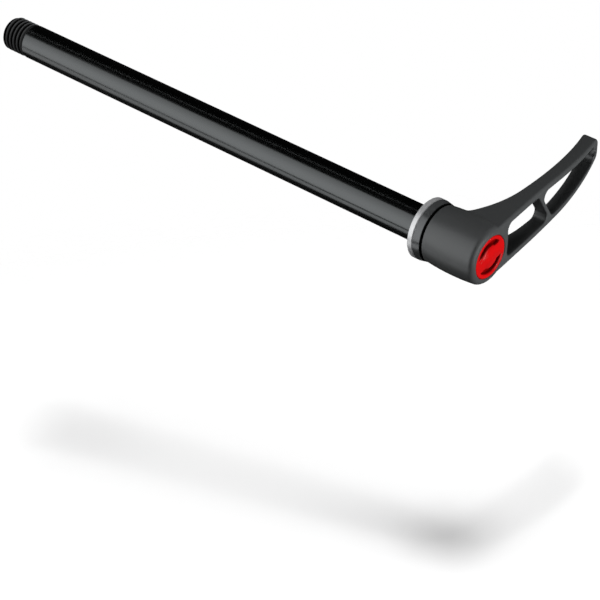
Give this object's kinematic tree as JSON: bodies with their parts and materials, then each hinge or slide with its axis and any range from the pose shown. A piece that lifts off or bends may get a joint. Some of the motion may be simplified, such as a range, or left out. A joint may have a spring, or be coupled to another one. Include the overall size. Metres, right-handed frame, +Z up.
{
  "type": "bicycle thru axle",
  "caption": "Hollow bicycle thru axle with a threaded end, a flange with a loose thrust washer, and a pull-out indexing lever whose curved arm has windows.",
  "frame": {"origin": "centre of the clamp face, the washer's inboard face, on the axle's axis", "axes": "+Y along the axle towards the lever, the lever's arm points to -X, +Z up"},
  "size_m": [0.0826, 0.2095, 0.0202],
  "materials": {
    "axle": "gloss black anodised",
    "thrust_washer": "turned",
    "lever": "satin dark grey",
    "cap": "gloss red",
    "inner_steel": "plain"
  },
  "bodies": {
    "axle": {"axle": "axle", "retaining_screw": "inner_steel", "spring_washer": "inner_steel"},
    "washer": {"thrust_washer": "thrust_washer"},
    "spring": {"spring": "inner_steel"},
    "lever": {"lever": "lever", "tooth_ring": "inner_steel", "cap": "cap"}
  },
  "joints": [
    {"name": "lever_turn", "type": "hinge", "parent": "axle", "child": "spring", "pos_m": [0, 0, 0], "axis": [0, 1, 0], "continuous": true},
    {"name": "lever_pull", "type": "slide", "parent": "spring", "child": "lever", "axis": [0, 1, 0], "range_m": [0, 0.0046], "stiffness_N_per_m": 1500, "springref_m": -0.004, "deforming": ["spring"]},
    {"name": "washer_spin", "type": "hinge", "parent": "axle", "child": "washer", "pos_m": [0, 0, 0], "axis": [0, 1, 0], "continuous": true}
  ]
}
